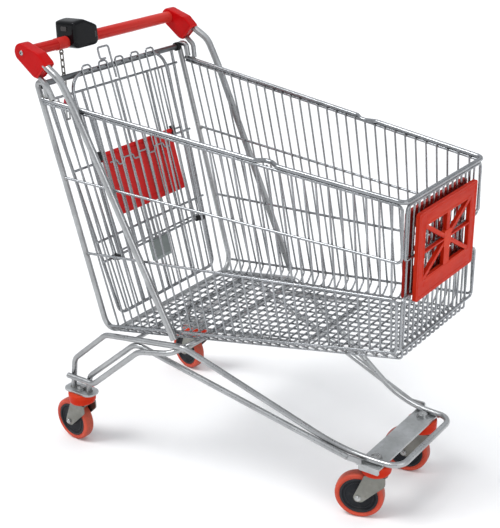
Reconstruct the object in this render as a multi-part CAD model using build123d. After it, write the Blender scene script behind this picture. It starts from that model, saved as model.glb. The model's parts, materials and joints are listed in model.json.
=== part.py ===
from build123d import *
import math
import os

# Supermarket trolley of welded round wire and tube, on four swivel castors.
# Cart frame while modelling: X forward, Y left, Z up, X = 0 at the rear swivels, floor at Z = GROUND.
# Everything is moved at the end, so that the origin is the bottom centre of the whole box.
# All sizes are in millimetres and degrees.

# ---- driving dimensions ----
GAP = 0.03                      # free play left between welded wires, so that no two solids overlap
RUNNING = 0.05                  # radial clearance of everything that turns on a pin

WHEEL_R, WHEEL_W, HUB_R = 57.0, 28.0, 44.5
AXLE_Z = 68.5
GROUND = AXLE_Z - WHEEL_R
TRAIL = 38.0                    # swivel axis to axle
REAR_X, REAR_Y = 0.0, 230.0
FRONT_X, FRONT_Y = 794.0, 108.0
HEADINGS = {"rear_left": -12.0, "rear_right": -3.0, "front_left": 9.0, "front_right": 19.0}
PLATE_Z, PLATE_T = 166.0, 5.0   # top face and thickness of the castor plates
SWIVEL_R = 6.0                  # swivel bolt

TUBE_R = 7.0                    # chassis tube
LEG_CUT = 1.4                   # the legs lean, so their square ends start this far above the plate
WIRE_R = 2.25                   # basket wire
RAIL_R = 3.0                    # wire that runs along the walls
RIM_R = 5.0
POST_R = 6.8                    # rear frame tube
FRONT_POST_R, REAR_POST_R = 8.5, 6.0

W0, W_SLOPE = 256.35, -0.09568  # basket half width at the rim: W0 + W_SLOPE * x
RIM_Z0, RIM_SLOPE = 926.7, -0.1408
RAIL_B = (748.5, -0.0830)       # height at x = 0 and slope of the three side rails
RAIL_C = (560.2, 0.0407)
RAIL_D = (367.2, 0.127)
FLOOR = (346.4, 0.126)
FRONT_RIM_X, FRONT_FACE_X, FRONT_FACE_Z, FRONT_LEAN = 892.0, 880.0, 479.0, 12.0 / 322.0
PANEL_X, PANEL_Z, PANEL_T = 890.668, 672.0, 8.0   # back face and middle of the front panel, its thickness
WINDOW_UP = 5.0                 # the window sits this far above the middle of the panel
CHAMFER = 22.0                  # width of the sloped band between wall and floor

SIDE_WIRES, FRONT_WIRES = 31, 15
CORNER_R = 12.0                 # corners of the wire loops

LEAN = 13.35                    # rear frame, gate and seat lean back by this angle
HINGE_X, HINGE_Z, ROD_R, ROD_HALF = -4.0, 955.0, 7.0, 236.5
GATE_WIDE, GATE_TAPER, GATE_DEEP = 225.0, 0.07, 580.0
GATE_BARS = (39.0, 213.0, 392.0, 442.0)

HANDLE_X, HANDLE_Z, HANDLE_R = -29.0, 1029.0, 13.0
GRIP_R = 14.0                   # plastic grip on the free stretch of the handle tube
BRACKET_IN, BRACKET_OUT = 240.0, 268.0
LOCK_NEAR, LOCK_FAR = -128.0, -43.0   # coin lock, along the handle
CHAIN_Y, COLLAR_R = -146.0, 14.2
LINK_PITCH, LINKS, LINK_WIRE_R = 16.0, 7, 1.5

OUT = "parts"
parts = {}


# ---- small helpers ----
def half_width(x):
    return W0 + W_SLOPE * x


def line_z(rail, x):
    return rail[0] + rail[1] * x


def rim_z(x):
    return RIM_Z0 + RIM_SLOPE * x


def front_x(z):
    return FRONT_FACE_X + (z - FRONT_FACE_Z) * FRONT_LEAN


def post_x(z):
    """Centre of the leaning rear post at height z."""
    return -2.0 + (934.0 - z) * math.tan(math.radians(LEAN))


def wire(points, radius, bends=None, close=False):
    """Round wire or tube along straight runs joined by arcs."""
    if len(points) == 2:
        path = Line(*points)
    else:
        path = FilletPolyline(*points, radius=bends, close=close)
    start = path.location_at(0)
    return sweep(Plane(start) * Circle(radius), path=path)


def mirrored(points):
    """The same points on the other side of the cart, in reverse order."""
    return [(x, -y, z) for x, y, z in reversed(points)]


def flip(shape):
    return mirror(shape, about=Plane.XZ)


def both(shape):
    return [shape, flip(shape)]


def rod(centre, radius, length, axis):
    """Cylinder centred on a point, along the named axis."""
    turn = {"x": Rotation(0, 90, 0), "y": Rotation(90, 0, 0), "z": Rotation(0, 0, 0)}[axis]
    return Pos(*centre) * turn * Cylinder(radius, length)


def gate_point(depth, down, y):
    """Point in the plane of the gate: depth forward of the hinge, down along the lean, y across."""
    a = math.radians(LEAN)
    x = HINGE_X + depth * math.cos(a) + down * math.sin(a)
    z = HINGE_Z + depth * math.sin(a) - down * math.cos(a)
    return (x, y, z)


def gate_place(depth, down, y):
    """Location whose local X is forward, Y left and Z up along the leaning gate."""
    return Location(gate_point(depth, down, y), (0, -LEAN, 0))


def keep(name, *solids):
    parts[name] = list(solids)


# ---- chassis ----
def chassis():
    leg = [
        (-26.5, REAR_Y, PLATE_Z + LEG_CUT),
        (-12.0, REAR_Y, 249.0),
        (107.0, REAR_Y, 346.0),
        (355.0, REAR_Y, 378.0),
        (729.0, 131.0, PLATE_Z + TUBE_R + GAP),
        (862.0, 124.0, PLATE_Z + TUBE_R + GAP),
    ]
    bends = [40, 40, 45, 290, 34, 34, 290, 45, 40, 40]
    keep("chassis_tube", wire(leg + mirrored(leg), TUBE_R, bends))

    inner = [
        (26.5, REAR_Y, PLATE_Z + LEG_CUT),
        (35.0, REAR_Y, 212.0),
        (206.0, REAR_Y, 348.4),
        (742.0, 147.0, 172.5),
    ]
    tube = wire(inner, TUBE_R, [40, 40])
    tab = Pos(758, 147, 172.5) * Box(44, 5, 12.8)
    tube = tube + fillet(tab.edges().filter_by(Axis.Y), 4)
    keep("inner_tubes", *both(tube))

    outside = REAR_Y + 2 * TUBE_R + 0.6
    half = [
        (-27.0, outside, 204.0),
        (62.0, outside, 204.0),
        (226.0, outside, 338.0),
        (318.0, 236.0, 354.0),
        (362.0, 196.0, 377.2),
    ]
    keep("cross_tube", wire(half + mirrored(half), TUBE_R, [30, 60, 60, 30, 30, 60, 60, 30]))

    bar_x = 208.0
    reach = REAR_Y - TUBE_R - 0.1
    bar = rod((bar_x, 0, line_z(FLOOR, bar_x) - 4.55 - WIRE_R - 5.1), 5, 2 * reach, "y")
    def hoop_z(x):
        return line_z(FLOOR, x) - 4.55 - WIRE_R - 4.05

    hoop = [(369.2, 130, hoop_z(369.2)), (625, 130, hoop_z(625))]
    keep("floor_supports", bar, wire(hoop + mirrored(hoop), 4, [30, 30]))


def castor_plates():
    plate = Pos(0, REAR_Y, PLATE_Z - PLATE_T / 2) * Box(98, 46, PLATE_T)
    plate = fillet(plate.edges().filter_by(Axis.Z), 20)
    plate = chamfer(plate.faces().sort_by(Axis.Z)[-1].edges(), 1)
    plate -= rod((0, REAR_Y, PLATE_Z), SWIVEL_R + 0.02, 20, "z")
    keep("rear_plates", *both(plate))

    half = 147.5
    bar = Pos(FRONT_X, 0, PLATE_Z - PLATE_T / 2) * Box(56, 2 * half, PLATE_T)
    for side in (-1, 1):
        lip = Pos(FRONT_X + 2, side * (half - 1.5), PLATE_Z - 8) * Box(52, 3, 16)
        bar = bar + fillet(lip.edges().filter_by(Axis.Y).group_by(Axis.Z)[0], 5)
        bar -= rod((FRONT_X, side * FRONT_Y, PLATE_Z), SWIVEL_R + 0.02, 20, "z")
    keep("front_plate", bar)


def swivel_bolt():
    """Domed head above the plate, shank through plate and fork, riveted foot below."""
    head = Cylinder(14, 3, align=(Align.CENTER, Align.CENTER, Align.MIN))
    dome = Pos(0, 0, 3) * Sphere(20) & Pos(0, 0, 3) * Cylinder(
        12, 30, align=(Align.CENTER, Align.CENTER, Align.MIN))
    dome = Pos(0, 0, -11.5) * dome & Cylinder(12, 20, align=(Align.CENTER, Align.CENTER, Align.MIN))
    top = Pos(0, 0, PLATE_Z + GAP) * (head + dome)
    shank = Pos(0, 0, 122) * Cylinder(SWIVEL_R, PLATE_Z + 1 - 122,
                                      align=(Align.CENTER, Align.CENTER, Align.MIN))
    foot = Pos(0, 0, 121.5) * Cylinder(9, 5, align=(Align.CENTER, Align.CENTER, Align.MIN))
    return top + shank + foot


# ---- castors: built at the swivel axis, wheel trailing towards -X ----
def fork():
    outline = Polyline((-25, 130), (25, 130), (25, 110), (-29, 58), (-47, 58), (-49, 72), close=True)
    face = fillet(make_face(outline).vertices().group_by(Axis.Y)[0], 8)
    arm = extrude(Plane.XZ.offset(-19.2) * face, 3, dir=(0, 1, 0))
    arm -= rod((-TRAIL, 20.7, AXLE_Z), 4.02, 10, "y")
    crown = Pos(0, 0, 128.5) * Box(50, 44.4, 3)
    body = arm + flip(arm) + crown
    body = fillet(body.edges().filter_by(Axis.X).group_by(Axis.Z)[-1], 2.4)
    return body - rod((0, 0, 128), SWIVEL_R + RUNNING, 20, "z")


def swivel_cover():
    """Plastic dust cover that hides the ball race."""
    outline = Polyline((SWIVEL_R + RUNNING, 130.2), (30, 130.2), (34.5, 140), (35, 157),
                       (33, 160.4), (SWIVEL_R + RUNNING, 160.4), close=True)
    return revolve(Plane.XZ * make_face(outline), Axis.Z)


def axle():
    """Bolt through both fork arms, with a domed head and a nut."""
    shank = rod((0, 0, 0), 4, 46, "y")
    head = Pos(0, -24.1, 0) * Rotation(90, 0, 0) * Cylinder(6.5, 3.6)
    head = fillet(head.edges().sort_by(Axis.Y)[0], 1.6)
    nut = Pos(0, 24.9, 0) * Rotation(90, 0, 0) * extrude(RegularPolygon(6.5, 6), 2.6, both=True)
    return Pos(-TRAIL, 0, AXLE_Z) * (shank + head + nut)


def hub():
    """Wheel centre: a rim, a web on each side with a shallow dish, and a boss with the bearing."""
    side = WHEEL_W / 2 - 2.5
    outline = Polyline((4 + RUNNING, -18), (11, -18), (13, -side + 1.5), (31, -side + 3.5), (37, -side),
                       (HUB_R, -side - 0.5), (HUB_R, side + 0.5), (37, side), (31, side - 3.5),
                       (13, side - 1.5), (11, 18), (4 + RUNNING, 18), close=True)
    body = revolve(make_face(outline), Axis.Y)
    return Pos(-TRAIL, 0, AXLE_Z) * body


def tyre():
    inner = HUB_R + GAP
    side = WHEEL_W / 2
    outline = Polyline((inner, -side + 2), (48, -side), (51.5, -side), (WHEEL_R, -side + 7),
                       (WHEEL_R, side - 7), (51.5, side), (48, side), (inner, side - 2), close=True)
    ring = fillet(make_face(outline).vertices().sort_by(Axis.X)[-6:], 2.5)
    return Pos(-TRAIL, 0, AXLE_Z) * revolve(ring, Axis.Y)


SWIVELS = {
    "rear_left": (REAR_X, REAR_Y),
    "rear_right": (REAR_X, -REAR_Y),
    "front_left": (FRONT_X, FRONT_Y),
    "front_right": (FRONT_X, -FRONT_Y),
}


def castors():
    pieces = {"fork": fork(), "swivel_cover": swivel_cover(), "axle": axle(), "hub": hub(),
              "tyre": tyre()}
    bolt = swivel_bolt()
    bolts = []
    for place, (x, y) in SWIVELS.items():
        stand = Pos(x, y, 0) * Rotation(0, 0, HEADINGS[place])
        for kind, shape in pieces.items():
            keep(f"{kind}_{place}", stand * shape)
        bolts.append(Pos(x, y, 0) * bolt)
    keep("swivel_bolts", *bolts)


# ---- basket ----
def basket_rim():
    """Thick top wire, with a short stretch bent inwards on each side."""
    side = [(post_x(920) + POST_R + 0.8, 0), (562, 0), (578, 14), (592, 14), (614, 0)]
    left = [(x, half_width(x) - inwards, rim_z(x)) for x, inwards in side]
    left.append((FRONT_RIM_X, half_width(FRONT_RIM_X), rim_z(FRONT_RIM_X)))
    bends = [8, 8, 8, 8, 16, 16, 8, 8, 8, 8]
    keep("basket_rim", wire(left + mirrored(left), RIM_R, bends))


def side_loop(upper, lower, upper_start, lower_start, front):
    """Wire that runs forward along one rail, turns down at the front and comes back along another."""
    points = [(x, half_width(x), z(x)) for x, z in
              ((upper_start, upper), (front, upper), (front, lower), (lower_start, lower))]
    return wire(points, RAIL_R, [CORNER_R, CORNER_R])


def side_loops():
    off = POST_R + 1.2

    def under_rim(x):
        return rim_z(x) - RIM_R - RAIL_R - 0.2

    def rail(line):
        return lambda x: line_z(line, x)

    top = side_loop(under_rim, rail(RAIL_B), post_x(917) + off, post_x(744) + off, 886.0)
    low = side_loop(rail(RAIL_C), rail(RAIL_D), post_x(564) + off, post_x(385) + off, 876.0)
    keep("side_loops", *both(top), *both(low))


def front_ring(top, bottom, reach):
    points = [(front_x(top), reach, top), (front_x(top), -reach, top),
              (front_x(bottom), -reach, bottom), (front_x(bottom), reach, bottom)]
    return wire(points, RAIL_R, [CORNER_R] * 4, close=True)


def front_loops():
    rim = rim_z(FRONT_RIM_X)
    keep("front_loops", front_ring(rim - RIM_R - RAIL_R - GAP, 677, 163), front_ring(596, 479, 165))


WIRE_OFF = RAIL_R + WIRE_R + 0.2      # wall wires stand this far inside the rails
FLOOR_IN = WIRE_OFF + CHAMFER          # floor starts this far inside the wall
FLOOR_JOIN = FLOOR_IN + 8.0            # where a wall wire hands over to a floor wire


def side_wire_feet():
    """Where each wall wire starts under the rim and where it reaches the floor."""
    for i in range(SIDE_WIRES):
        t = i / (SIDE_WIRES - 1)
        x_top = 33 + t * (862 - 33)
        x_rail = 161 + t * (862 - 161)
        yield x_top, x_rail, x_rail + 5 * (1 - t)


def side_wires():
    wires = []
    for x_top, x_rail, x_floor in side_wire_feet():
        top = (x_top, half_width(x_top) - WIRE_OFF, rim_z(x_top) - RIM_R - 0.3)
        knee = (x_rail, half_width(x_rail) - WIRE_OFF, line_z(RAIL_D, x_rail) - 5)
        foot = (x_floor, half_width(x_floor) - FLOOR_IN, line_z(FLOOR, x_floor))
        end = (x_floor, half_width(x_floor) - FLOOR_JOIN, line_z(FLOOR, x_floor))
        wires.append(wire([top, knee, foot, end], WIRE_R, [8, 8]))
    keep("side_wires", *wires, *[flip(one) for one in wires])


FRONT_FOOT_X = 873.5
FRONT_JOIN_X = 850.0


def under_floor(x):
    """Height of the lengthwise floor wires, which lie under the cross wires."""
    return line_z(FLOOR, x) - 2 * WIRE_R - 0.05


def front_wire_lanes():
    reach = half_width(FRONT_FOOT_X) - 30
    for j in range(FRONT_WIRES):
        yield -1 + 2 * j / (FRONT_WIRES - 1), reach


def lane_y(share, x):
    return share * (half_width(x) - 30)


def front_wires():
    top_z = rim_z(FRONT_RIM_X) - RIM_R - 0.3
    wires = []
    for share, reach in front_wire_lanes():
        y = share * reach
        wires.append(wire([(front_x(top_z) - WIRE_OFF, y, top_z),
                           (FRONT_FOOT_X, y, under_floor(FRONT_FOOT_X)),
                           (FRONT_JOIN_X, lane_y(share, FRONT_JOIN_X), under_floor(FRONT_JOIN_X))],
                          WIRE_R, [9]))
    keep("front_wires", *wires)


def floor_wires():
    wires = []
    for _, _, x in side_wire_feet():
        reach = half_width(x) - FLOOR_JOIN
        wires.append(rod((x, 0, line_z(FLOOR, x)), WIRE_R, 2 * reach, "y"))
    rear = REAR_BAR[0] + POST_R + 0.5
    for share, _ in front_wire_lanes():
        wires.append(wire([(rear, lane_y(share, rear), under_floor(rear)),
                           (FRONT_JOIN_X, lane_y(share, FRONT_JOIN_X), under_floor(FRONT_JOIN_X))],
                          WIRE_R))
    keep("floor_wires", *wires)


REAR_BAR = (134.0, 361.0)              # x and z of the tube across the rear edge of the floor


def rear_frame():
    hook_y, hook_z = 250.0, 962.0
    half = [(21.5, hook_y, rim_z(21.5) + RIM_R + 1.8),
            (16.5, hook_y, hook_z),
            (post_x(hook_z), hook_y, hook_z),
            (REAR_BAR[0], half_width(REAR_BAR[0]), REAR_BAR[1])]
    keep("rear_frame", wire(half + mirrored(half), POST_R, [9.5, 9.5, 45, 45, 9.5, 9.5]))


def handle_posts():
    out = FRONT_POST_R + RIM_R + 0.1

    def beside(x, z):
        return (x, half_width(x) + out, z)

    front = [(6, 258, 1023), (80, 262, 977), beside(113, 912), beside(336, 396)]
    keep("front_posts", *both(wire(front, FRONT_POST_R, [60, 40])))
    rim_x = 41.0
    rear = [(-6, 260, 992), (33, 259.5, 960), (rim_x, half_width(rim_x), rim_z(rim_x) + RIM_R + 2.6)]
    keep("rear_posts", *both(wire(rear, REAR_POST_R, [22])))


# ---- handle ----
def bracket():
    """Moulded end piece that holds the handle tube and clamps both posts."""
    outline = Polyline((-47, 1013), (-1, 978), (9, 974.5), (47, 1008), (45, 1018), (24, 1031),
                       (-17, 1046), close=True)
    face = make_face(outline) + Pos(-31, 1029) * Circle(21.5)
    face = fillet(face.vertices().sort_by(Axis.X)[-2:], 4)
    body = extrude(Plane.XZ.offset(-BRACKET_IN) * face, BRACKET_OUT - BRACKET_IN, dir=(0, 1, 0))
    rim = body.faces().sort_by(Axis.Y)[-1].edges()
    body = fillet(rim, 2.5)
    for post in (parts["front_posts"][0], parts["rear_posts"][0]):
        body -= offset(post, 0.05)
    body -= rod((HANDLE_X, BRACKET_OUT, HANDLE_Z), 6.5, 6, "y")
    return body


def handle():
    """Bare tube under the coin lock, with a thicker grip on the stretch that hands hold."""
    end = BRACKET_IN - 0.1
    start = LOCK_FAR + GAP
    grip = rod((HANDLE_X, (start + end) / 2, HANDLE_Z), GRIP_R, end - start, "y")
    keep("handle_bar", grip + rod((HANDLE_X, 0, HANDLE_Z), HANDLE_R, 2 * end, "y"))
    body = bracket()
    keep("handle_brackets", *both(body))


# ---- coin lock on the handle ----
def coin_lock():
    outline = Polyline((LOCK_NEAR, 1011), (LOCK_FAR, 1011), (LOCK_FAR, 1062), (LOCK_NEAR + 22, 1079),
                       (LOCK_NEAR, 1074), close=True)
    body = extrude(Plane.YZ.offset(-66) * make_face(outline), 64)
    body = fillet(body.edges(), 8)
    body -= rod((HANDLE_X, 0, HANDLE_Z), HANDLE_R + 0.03, 400, "y")
    slide_hole = Pos(-60, -84, 1060) * Box(30, 31, 7)
    keep("coin_lock_body", body - slide_hole)

    tray = Pos(-59.2, -84, 1060) * Box(27, 30, 6)
    tray = fillet(tray.edges().filter_by(Axis.Z).group_by(Axis.X)[0], 6)
    tray -= Pos(-62, -84, 1063) * Cylinder(11.8, 4)
    keep("coin_slide", tray)

    collar = rod((HANDLE_X, (LOCK_NEAR - 34 + LOCK_NEAR) / 2 - 0.1, HANDLE_Z), COLLAR_R, 34, "y")
    collar = chamfer(collar.edges(), 0.5)
    collar -= rod((HANDLE_X, -140, HANDLE_Z), HANDLE_R + 0.03, 100, "y")
    eye_z = HANDLE_Z - 20
    eye = Pos(HANDLE_X, CHAIN_Y, eye_z) * Rotation(0, 90, 0) * Torus(5.2, 1.6)
    eye_stub = rod((HANDLE_X, CHAIN_Y, eye_z + 6.4), 1.8, 6, "z")
    keep("lock_collar", collar)
    keep("chain_eye", (eye + eye_stub) - rod((HANDLE_X, CHAIN_Y, HANDLE_Z), COLLAR_R + 0.02, 40, "y"))


def chain_top_z():
    return HANDLE_Z - 20 - 5.2 + 1.6


def link():
    """Oval link standing in the YZ plane, centred on the origin."""
    half, width = LINK_PITCH / 2 + LINK_WIRE_R, 4.4
    points = [(0, width, half), (0, -width, half), (0, -width, -half), (0, width, -half)]
    return wire(points, LINK_WIRE_R, [4.3] * 4, close=True)


def chain():
    links = []
    first = chain_top_z() - LINK_PITCH / 2 + 0.3
    for i in range(LINKS):
        turn = Rotation(0, 0, 90 * ((i + 1) % 2))
        z = first - i * (LINK_PITCH - 0.4)
        links.append(Pos(HANDLE_X, CHAIN_Y, z) * turn * link())
    keep("lock_chain", *links)
    last = first - (LINKS - 1) * (LINK_PITCH - 0.4)
    top = last - LINK_PITCH / 2 + 2.6
    outline = Polyline((-6, 0), (6, 0), (12, -22), (-12, -22), close=True)
    face = fillet(make_face(outline).vertices(), 2.5) - Pos(0, -5.6) * Circle(4.4)
    grip = extrude(Plane.YZ * face, 2.5, both=True)
    slot = Pos(0, 0, -22) * Box(3.04, 13.04, 16)
    keep("key_holder", Pos(HANDLE_X, CHAIN_Y, top) * (grip - slot))
    blade = Pos(0, 0, -33) * Box(3, 13, 38) - Pos(0, 0, -40) * Box(10, 6.5, 15)
    keep("key_blade", Pos(HANDLE_X, CHAIN_Y, top) * blade)


# ---- rear gate, hinged on the rod between the posts ----
def gate_half(down):
    return GATE_WIDE - GATE_TAPER * down


FRAME_D = -(ROD_R + 4 + GAP)            # depth of the gate's frame wire, behind the rod
BAR_D = FRAME_D + 4 + RAIL_R + GAP      # cross bars lie in front of the frame wire
STAVE_D = BAR_D - RAIL_R - 3.5 - GAP    # thick uprights, behind the bars
THIN_D = BAR_D - RAIL_R - WIRE_R - GAP  # thin uprights, behind the bars


def gate():
    keep("gate_rod", rod((HINGE_X, 0, HINGE_Z), ROD_R, 2 * ROD_HALF, "y"))
    half = [gate_point(FRAME_D, -4, gate_half(-4)), gate_point(FRAME_D, GATE_DEEP, gate_half(GATE_DEEP))]
    keep("gate_frame", wire(half + mirrored(half), 4, [22, 22]))
    bars = [rod(gate_point(BAR_D, down, 0), RAIL_R, 2 * (gate_half(down) + 4), "y")
            for down in GATE_BARS]
    keep("gate_bars", *bars)
    foot = GATE_DEEP - 4.4
    staves = []
    for share in (-0.52, 0, 0.52):
        ends = [gate_point(STAVE_D, down, share * gate_half(down)) for down in (36, foot)]
        staves.append(wire(ends, 3.5))
    for share in (0.65, 0.77, 0.885):
        for side in (-1, 1):
            ends = [gate_point(THIN_D, down, side * share * gate_half(down)) for down in (36, foot)]
            staves.append(wire(ends, WIRE_R))
    for share in (0.13, 0.26, 0.39):
        for side in (-1, 1):
            ends = [gate_point(THIN_D, down, side * share * gate_half(down)) for down in (210, foot)]
            staves.append(wire(ends, WIRE_R))
    keep("gate_wires", *staves)

    holder = Box(5.8, 71, 52)
    holder = fillet(holder.edges().filter_by(Axis.X), 5)
    holder -= Pos(2, 0, 3) * Box(3, 63, 44)
    keep("label_holder", gate_place(BAR_D, GATE_BARS[3] + RAIL_R + 26.1, 0) * holder)

    cup = Pos(HINGE_X, ROD_HALF + 0.5, HINGE_Z) * Rotation(90, 0, 0) * Cylinder(11, 12)
    cup = fillet(cup.edges(), 1.5)
    cup -= rod((HINGE_X, ROD_HALF + 0.3 - 10, HINGE_Z), ROD_R + RUNNING, 20, "y")
    keep("hinge_bushings", *both(cup))


# ---- folding child seat on the gate ----
SEAT_D = 13.0
PIVOT_Y = 158.5
SEAT_TOP = -3.0
FLAP_AXIS = (10.5, 198.0)
FLAP_HALF, FLAP_DEEP = 125.0, 349.0
PIN_WIRE_D = SEAT_D + 4 + WIRE_R + GAP


def seat_back():
    half = [gate_point(SEAT_D, GATE_BARS[3], PIVOT_Y), gate_point(SEAT_D, SEAT_TOP, 167)]
    keep("seat_frame", wire(half + mirrored(half), 4, [48, 48]))

    wires = []
    for middle in (-112, -56, 0, 56, 112):
        points = [gate_point(PIN_WIRE_D, 436, middle - 14), gate_point(PIN_WIRE_D, -16, middle - 14),
                  gate_point(PIN_WIRE_D, -16, middle + 14), gate_point(PIN_WIRE_D, 436, middle + 14)]
        wires.append(wire(points, WIRE_R, [9, 9]))
    keep("seat_wires", *wires)

    bump_d = PIN_WIRE_D + 2 * WIRE_R + GAP
    points = []
    for middle in (-84, -28, 28, 84):
        for y, down in ((-13, 218), (-9, 230), (9, 230), (13, 218)):
            points.append(gate_point(bump_d, down, middle + y))
    points = [gate_point(bump_d, 218, -118)] + points + [gate_point(bump_d, 218, 118)]
    rest = wire(points, WIRE_R, [3.4] * (len(points) - 2))
    foot_d = PIN_WIRE_D - WIRE_R - 2.5 - GAP
    foot = rod(gate_point(foot_d, 428, 0), 2.5, 2 * (PIVOT_Y - 4.1), "y")
    pull_d = PIN_WIRE_D + 2 * WIRE_R + GAP
    corners = [(-47, -20), (-65, -20), (-65, -48), (-29, -48), (-29, -20)]
    pull = [gate_point(pull_d, down, y) for y, down in corners] + [gate_point(pull_d, 30, -27.5)]
    grip = wire(pull, 2.5, [6, 6, 6, 12])
    pin = rod(gate_point(*FLAP_AXIS, 0), 2.5, 2 * 158.5, "y")
    keep("seat_bars", rest, foot, grip, pin)
    clip = (gate_place(*FLAP_AXIS, 133) * Box(12, 8, 22)) - rod(gate_point(*FLAP_AXIS, 0), 2.52, 400, "y")
    keep("flap_clips", *both(clip))

    ring = Circle(8) + Pos(SEAT_D - BAR_D, 0) * Circle(7) + Pos((SEAT_D - BAR_D) / 2, 0) * Rectangle(
        SEAT_D - BAR_D, 12)
    arm = extrude(Plane.XZ * ring, 5, both=True)
    arm -= rod((0, 0, 0), RAIL_R + RUNNING, 40, "y")
    arm = gate_place(BAR_D, GATE_BARS[3], PIVOT_Y) * arm
    arm -= offset(parts["seat_frame"][0], 0.03)
    keep("seat_pivots", *both(arm))


def seat_flap():
    """Plastic seat plate with a hinge barrel along its top edge and a ribbed back."""
    axis_d, axis_down = FLAP_AXIS
    long = FLAP_DEEP - axis_down
    plate = Pos(0, 0, -long / 2) * Box(4, 2 * FLAP_HALF, long)
    plate = fillet(plate.edges().filter_by(Axis.X).group_by(Axis.Z)[0], 6)
    barrel = rod((0, 0, 0), 5.6, 2 * FLAP_HALF, "y")
    ribs = [Pos(-3, y, -long / 2) * Box(3, 2.5, long - 18) for y in range(-100, 101, 50)]
    ears = [Pos(-1, s * (FLAP_HALF + 3), -long + 10) * Box(6, 10, 14) for s in (-1, 1)]
    body = plate + barrel
    for extra in ribs + ears:
        body += extra
    body = body - rod((0, 0, 0), 2.5 + RUNNING, 400, "y")
    keep("seat_flap", gate_place(axis_d, axis_down, 0) * body)


# ---- plastic panel on the front ----
def panel_frame(thick):
    """Square frame with a window that is crossed by ribs from a round hub."""
    outer = RectangleRounded(258, 190, 8)
    window = Pos(0, WINDOW_UP) * RectangleRounded(200, 114, 4)
    grille = Circle(17) + Pos(0, 50) * Rectangle(14, 100) + Pos(0, -50) * Rectangle(25, 100)
    for angle, width in ((30, 9), (-30, 9), (0, 4)):
        grille += Rotation(0, 0, angle) * Rectangle(240, width)
    face = (outer - window) + (Pos(0, WINDOW_UP) * grille & outer)
    return extrude(face, thick)


def front_panel():
    """Panels on both sides of the front wires, screwed together, leaning like the wires."""
    place = Location((PANEL_X, 0, PANEL_Z), (0, math.degrees(math.atan(FRONT_LEAN)), 0))
    stand = place * Plane(origin=(0, 0, 0), x_dir=(0, 1, 0), z_dir=(1, 0, 0)).location
    front = stand * panel_frame(PANEL_T)
    back = stand * Pos(0, 0, -26.5) * panel_frame(9)
    shanks = []
    for across in (-91.7, 91.7):
        for up in (-68.0, 82.0):
            def screw_rod(radius, near, far):
                return place * rod(((near + far) / 2, across, up), radius, far - near, "x")

            front -= screw_rod(2.52, -10, PANEL_T + 1)
            front -= screw_rod(5.5, PANEL_T - 2.5, PANEL_T + 1)
            back -= screw_rod(2.52, -40, -10)
            shanks.append(screw_rod(2.5, -24.5, PANEL_T - 0.3) + screw_rod(5, PANEL_T - 2.2, PANEL_T - 0.3))
    keep("panel_front", front)
    keep("panel_back", back)
    head = Pos(HANDLE_X, BRACKET_OUT - 2.9, HANDLE_Z) * Rotation(-90, 0, 0) * Cylinder(
        6, 2.4, align=(Align.CENTER, Align.CENTER, Align.MIN))
    head -= Pos(HANDLE_X, BRACKET_OUT, HANDLE_Z) * Rotation(-90, 0, 0) * extrude(
        RegularPolygon(3, 6), 1.6, both=True)
    keep("screws", *shanks, *both(head))


# ---- build, centre and write ----
def build():
    chassis()
    castor_plates()
    castors()
    basket_rim()
    side_loops()
    front_loops()
    side_wires()
    front_wires()
    floor_wires()
    rear_frame()
    handle_posts()
    handle()
    coin_lock()
    chain()
    gate()
    seat_back()
    seat_flap()
    front_panel()


def solids_of(shapes):
    """Bare solids of a node, without the group that a boolean may leave round them."""
    return [solid for shape in shapes for solid in shape.solids()]


def write():
    boxes = [solid.bounding_box() for shapes in parts.values() for solid in solids_of(shapes)]
    low = [min(getattr(b.min, axis) for b in boxes) for axis in "XYZ"]
    high = [max(getattr(b.max, axis) for b in boxes) for axis in "XYZ"]
    shift = -(low[0] + high[0]) / 2
    os.makedirs(OUT, exist_ok=True)
    for name, shapes in parts.items():
        placed = [Pos(shift, 0, -GROUND) * solid for solid in solids_of(shapes)]
        export_step(placed[0] if len(placed) == 1 else Compound(placed), f"{OUT}/{name}.step")
    print(f"{len(parts)} nodes, moved by {shift:.3f} along X and {-GROUND:.3f} along Z")
    print("lowest", [round(v, 1) for v in low], "highest", [round(v, 1) for v in high], "before the move")


build()
write()
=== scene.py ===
import json
import math
import random

import bmesh
import bpy
from mathutils import Matrix, Vector, noise
from mathutils.bvhtree import BVHTree
from mathutils.geometry import intersect_line_line

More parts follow.
